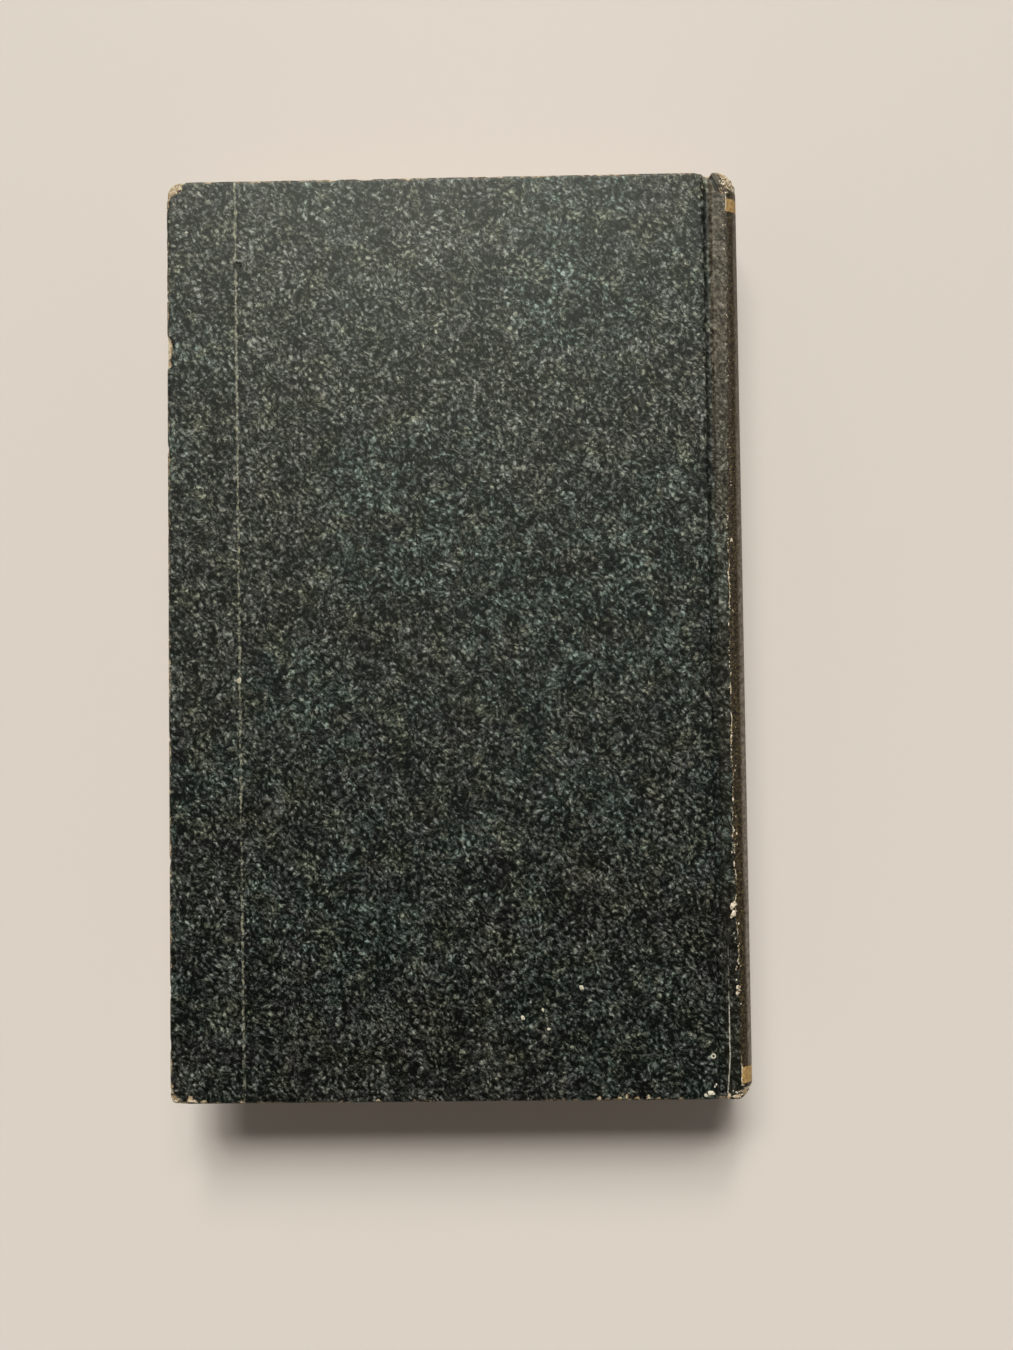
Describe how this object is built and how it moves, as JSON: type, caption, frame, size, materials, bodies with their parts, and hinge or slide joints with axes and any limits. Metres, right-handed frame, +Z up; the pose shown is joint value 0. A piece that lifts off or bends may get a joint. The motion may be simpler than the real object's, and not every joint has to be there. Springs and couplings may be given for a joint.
{
  "type": "hardcover book",
  "caption": "Old case-bound hardcover book lying flat: boards in mottled dark paper, joint grooves, slightly rounded spine with a dark label, a rounded and backed page block, and covers that open.",
  "frame": {"origin": "on the surface the book lies on, under the middle of its outline", "axes": "+X across the book towards the spine, +Y along the spine towards the head, +Z up, out of the back cover"},
  "size_m": [0.119, 0.19, 0.0213],
  "materials": {
    "board": "matt, brown pulp board",
    "cover_paper": "satin, dark green-grey with fine pale flecks, rubbed",
    "endpaper": "matt, yellowed",
    "pages": "matt, yellowed cut edges",
    "label_paper": "matt, dark brown with a dull ochre band at each end",
    "gauze": "open weave cotton, sized",
    "band_cloth": "woven cotton bead"
  },
  "bodies": {
    "front_cover": {"front_board": "board", "front_cover_paper": "cover_paper", "front_hinge_cloth": "gauze", "front_pastedown": "endpaper"},
    "pages": {"text_block": "pages", "back_flyleaf": "endpaper", "front_flyleaf": "endpaper", "spine_mull": "gauze", "headband": "band_cloth", "tailband": "band_cloth", "spine_inlay": "board", "spine_cover_paper": "cover_paper", "spine_label": "label_paper"},
    "back_cover": {"back_board": "board", "back_cover_paper": "cover_paper", "back_hinge_cloth": "gauze", "back_pastedown": "endpaper"}
  },
  "joints": [
    {"name": "front_joint", "type": "hinge", "parent": "front_cover", "child": "pages", "pos_m": [0.05267, 0, 0], "axis": [0, -1, 0], "range_deg": [-90, 0]},
    {"name": "back_joint", "type": "hinge", "parent": "pages", "child": "back_cover", "pos_m": [0.05267, 0, 0.0213], "axis": [0, 1, 0], "range_deg": [0, 180]}
  ]
}
